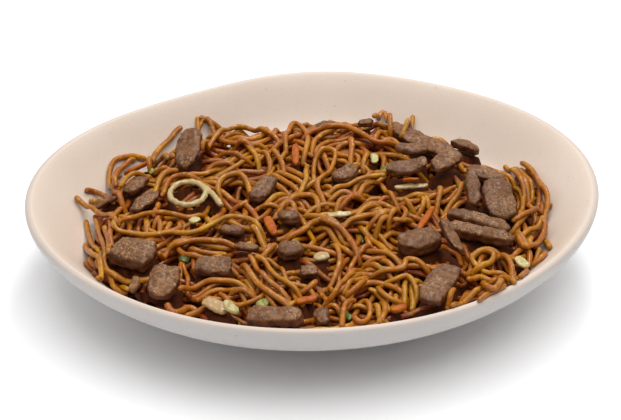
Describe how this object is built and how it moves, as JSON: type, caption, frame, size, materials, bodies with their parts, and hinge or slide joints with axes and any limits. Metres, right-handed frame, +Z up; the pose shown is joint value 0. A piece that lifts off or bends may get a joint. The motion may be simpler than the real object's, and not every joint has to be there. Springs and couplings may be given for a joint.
{
  "type": "bowl of beef stir-fried noodles",
  "caption": "An oval speckled stoneware bowl filled with glossy brown egg noodles, tossed with beef slices, an onion ring, onion pieces, carrot strips and snips of spring onion.",
  "frame": {"origin": "middle of the part's bounding box in plan, at the level of the surface that the foot ring stands on", "axes": "+X along the bowl's long side, to the right in the picture; +Y to the back of the picture; +Z up"},
  "size_m": [0.2883, 0.232, 0.0631],
  "materials": {
    "stoneware": null,
    "noodle": null,
    "beef": null,
    "onion": null,
    "carrot": null
  },
  "bodies": {
    "root": {"bowl": "stoneware", "noodles": "noodle", "beef_01": "beef", "beef_02": "beef", "beef_03": "beef", "beef_04": "beef", "beef_05": "beef", "beef_06": "beef", "beef_07": "beef", "beef_08": "beef", "beef_09": "beef", "beef_10": "beef", "beef_11": "beef", "beef_12": "beef", "beef_13": "beef", "beef_14": "beef", "beef_15": "beef", "beef_16": "beef", "beef_17": "beef", "beef_18": "beef", "beef_19": "beef", "beef_20": "beef", "beef_21": "beef", "beef_22": "beef", "beef_23": "beef", "beef_24": "beef", "beef_25": "beef", "beef_26": "beef", "beef_27": "beef", "beef_28": "beef", "beef_29": "beef", "beef_30": "beef", "beef_31": "beef", "beef_32": "beef", "onion_01": "onion", "onion_02": "onion", "onion_03": "onion", "onion_04": "onion", "onion_05": "onion", "onion_06": "onion", "onion_07": "onion", "onion_08": "onion", "onion_09": "onion", "carrot_01": "carrot", "carrot_02": "carrot", "carrot_03": "carrot", "carrot_04": "carrot", "carrot_05": "carrot", "carrot_06": "carrot", "carrot_07": "carrot"}
  },
  "joints": []
}
